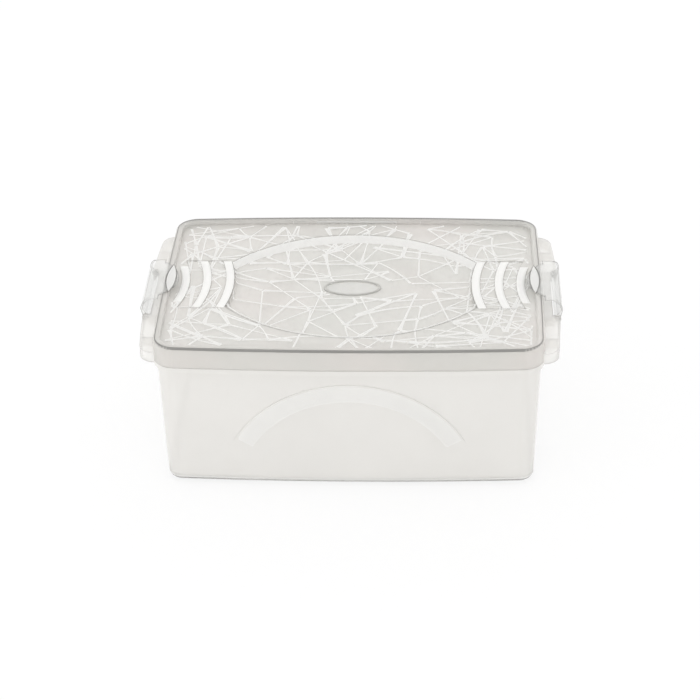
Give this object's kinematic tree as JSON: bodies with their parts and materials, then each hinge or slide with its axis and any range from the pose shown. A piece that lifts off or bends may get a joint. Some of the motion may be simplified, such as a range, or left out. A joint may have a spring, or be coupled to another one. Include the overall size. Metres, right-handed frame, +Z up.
{
  "type": "storage box with latching lid",
  "caption": "Clear plastic storage box with a lift-off lid, carrying ears and a swinging latch at each end.",
  "frame": {"origin": "under the middle of the tub, on the plane its feet stand on", "axes": "+X along the box's length, +Y from its front to its back, +Z up"},
  "size_m": [0.443, 0.2914, 0.1725],
  "materials": {
    "tub_plastic": "gloss",
    "lid_plastic": "gloss",
    "latch_plastic": "gloss"
  },
  "bodies": {
    "tub_body": {"tub": "tub_plastic"},
    "lid_body": {"lid": "lid_plastic"},
    "latch_left_body": {"latch_left": "latch_plastic"},
    "latch_right_body": {"latch_right": "latch_plastic"}
  },
  "joints": [
    {"name": "lid_lift", "type": "slide", "parent": "tub_body", "child": "lid_body", "axis": [0, 0, 1], "range_m": [0, 0.03]},
    {"name": "latch_left_hinge", "type": "hinge", "parent": "tub_body", "child": "latch_left_body", "pos_m": [-0.216, 0, 0.152], "axis": [0, -1, 0], "range_deg": [0, 110]},
    {"name": "latch_right_hinge", "type": "hinge", "parent": "tub_body", "child": "latch_right_body", "pos_m": [0.216, 0, 0.152], "axis": [0, 1, 0], "range_deg": [0, 110]}
  ],
  "couplings": [
    {"joint": "latch_left_hinge", "follows": "lid_lift", "rad_per_m": 63.9},
    {"joint": "latch_right_hinge", "follows": "lid_lift", "rad_per_m": 63.9}
  ]
}
